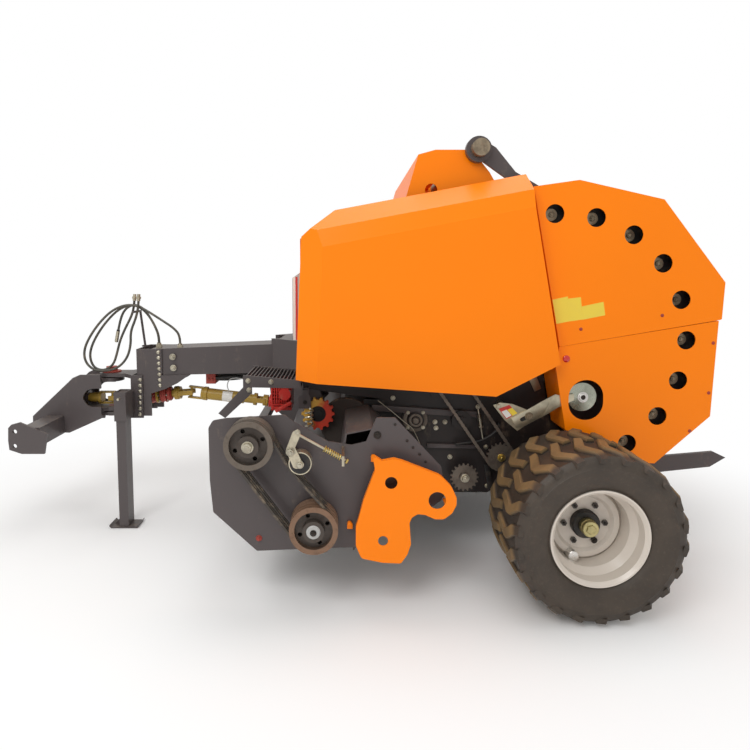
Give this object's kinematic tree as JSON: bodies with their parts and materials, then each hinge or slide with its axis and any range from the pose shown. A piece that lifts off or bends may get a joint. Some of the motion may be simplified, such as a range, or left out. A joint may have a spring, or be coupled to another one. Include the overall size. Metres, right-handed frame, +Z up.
{
  "type": "round baler",
  "caption": "Towed round baler with a roller chamber, hinged tailgate, wide flail pickup and drawbar, parked on its stand; it rolls crop into bales.",
  "frame": {"origin": "on the ground under the middle of the overall box", "axes": "+X to the machine's rear, +Y to its right side, +Z up; the side with the belt drive is at -Y"},
  "size_m": [4.406, 2.81, 2.4209],
  "materials": {
    "orange_paint": "glossy",
    "dark_grey_paint": "satin",
    "roller_steel": "satin",
    "red_paint": "satin",
    "yellow_paint": "satin",
    "cast_iron": "matte",
    "zinc_plate": "satin",
    "bright_steel": "satin",
    "light_grey_paint": "satin",
    "shaft_steel": "satin",
    "tyre_rubber": "matte",
    "silver_paint": "satin",
    "belt_rubber": "matte",
    "hose_rubber": "satin"
  },
  "bodies": {
    "chassis": {"axle_beam": "dark_grey_paint", "chamber_wall_left": "dark_grey_paint", "chamber_wall_right": "dark_grey_paint", "fixed_rollers": "roller_steel", "front_cover": "orange_paint", "top_hood": "orange_paint", "hinge_shaft": "shaft_steel", "front_box": "light_grey_paint", "front_crossbeam": "dark_grey_paint", "bale_ramp": "dark_grey_paint", "feed_floor": "dark_grey_paint", "pickup_pivots": "dark_grey_paint", "drawbar_beam": "dark_grey_paint", "drawbar_adapter": "dark_grey_paint", "hitch_fork": "dark_grey_paint", "pivot_pins": "bright_steel", "gearbox": "red_paint", "drive_shaft": "red_paint", "chain_sprockets": "bright_steel", "roller_chain": "bright_steel", "latch_plate": "zinc_plate", "step_grate": "dark_grey_paint", "door_hinges": "dark_grey_paint", "hose_holder": "dark_grey_paint", "hose_glands": "zinc_plate", "hose_ends": "zinc_plate", "hose_outer": "hose_rubber", "hose_inner": "hose_rubber", "hose_short": "hose_rubber"},
    "wheel_left": {"tyre_left": "tyre_rubber", "rim_left": "silver_paint"},
    "wheel_right": {"tyre_right": "tyre_rubber", "rim_right": "silver_paint"},
    "tailgate": {"tailgate_frame": "dark_grey_paint", "tailgate_rollers": "roller_steel", "side_discs": "bright_steel", "latch_arm": "zinc_plate", "upper_panel_left": "orange_paint", "upper_panel_right": "orange_paint", "lower_panel_left": "orange_paint", "lower_panel_right": "orange_paint"},
    "door_left": {"side_door_left": "orange_paint"},
    "door_right": {"side_door_right": "orange_paint"},
    "turning_hitch": {"hitch_head": "dark_grey_paint", "hitch_crossbar": "dark_grey_paint"},
    "stand": {"stand_leg": "dark_grey_paint"},
    "pickup": {"pickup_housing": "dark_grey_paint", "chain_guard": "orange_paint", "idler_arm": "zinc_plate", "drive_belts": "belt_rubber"},
    "rotor": {"flail_rotor": "roller_steel", "lower_pulley": "cast_iron"},
    "pulley": {"upper_pulley": "cast_iron"},
    "feed_auger": {"auger": "roller_steel"},
    "input_shaft": {"pto_front": "yellow_paint"},
    "drawbar_shaft": {"pto_middle": "yellow_paint"},
    "gearbox_shaft": {"pto_rear": "yellow_paint"}
  },
  "joints": [
    {"name": "wheel_left_spin", "type": "hinge", "parent": "chassis", "child": "wheel_left", "pos_m": [1.118, -1.16, 0.425], "axis": [0, 1, 0], "continuous": true},
    {"name": "wheel_right_spin", "type": "hinge", "parent": "chassis", "child": "wheel_right", "pos_m": [1.118, 1.16, 0.425], "axis": [0, 1, 0], "continuous": true},
    {"name": "tailgate_hinge", "type": "hinge", "parent": "chassis", "child": "tailgate", "pos_m": [0.66, 0, 2.35], "axis": [0, -1, 0], "range_deg": [0, 70]},
    {"name": "door_left_hinge", "type": "hinge", "parent": "chassis", "child": "door_left", "pos_m": [-0.335, -0.803, 1.092], "axis": [-0.045, 0, -0.999], "range_deg": [0, 100]},
    {"name": "door_right_hinge", "type": "hinge", "parent": "chassis", "child": "door_right", "pos_m": [-0.335, 0.803, 1.092], "axis": [0.045, 0, 0.999], "range_deg": [0, 100]},
    {"name": "hitch_turn", "type": "hinge", "parent": "chassis", "child": "turning_hitch", "pos_m": [-1.705, 0, 0.84], "axis": [0, 0, 1], "range_deg": [-50, 50]},
    {"name": "stand_slide", "type": "slide", "parent": "chassis", "child": "stand", "axis": [0, 0, 1], "range_m": [0, 0.35]},
    {"name": "pickup_lift", "type": "hinge", "parent": "chassis", "child": "pickup", "pos_m": [0.372, 0, 0.564], "axis": [0, -1, 0], "range_deg": [0, 12]},
    {"name": "rotor_spin", "type": "hinge", "parent": "pickup", "child": "rotor", "pos_m": [-0.23, 0, 0.436], "axis": [0, 1, 0], "continuous": true},
    {"name": "pulley_spin", "type": "hinge", "parent": "pickup", "child": "pulley", "pos_m": [-0.538, 0, 0.851], "axis": [0, 1, 0], "continuous": true},
    {"name": "auger_spin", "type": "hinge", "parent": "pickup", "child": "feed_auger", "pos_m": [0.146, 0, 0.651], "axis": [0, 1, 0], "continuous": true},
    {"name": "input_shaft_spin", "type": "hinge", "parent": "turning_hitch", "child": "input_shaft", "pos_m": [-1.705, 0, 0.807], "axis": [1, 0, 0], "continuous": true},
    {"name": "drawbar_shaft_spin", "type": "hinge", "parent": "chassis", "child": "drawbar_shaft", "pos_m": [-1.705, 0, 0.807], "axis": [0.9976, 0, 0.0686], "continuous": true},
    {"name": "gearbox_shaft_spin", "type": "hinge", "parent": "chassis", "child": "gearbox_shaft", "pos_m": [-1.152, 0, 0.845], "axis": [0.9933, 0, -0.1154], "continuous": true}
  ],
  "couplings": [
    {"joint": "pulley_spin", "follows": "rotor_spin", "ratio": 1},
    {"joint": "input_shaft_spin", "follows": "gearbox_shaft_spin", "ratio": 1},
    {"joint": "drawbar_shaft_spin", "follows": "gearbox_shaft_spin", "ratio": 1}
  ]
}
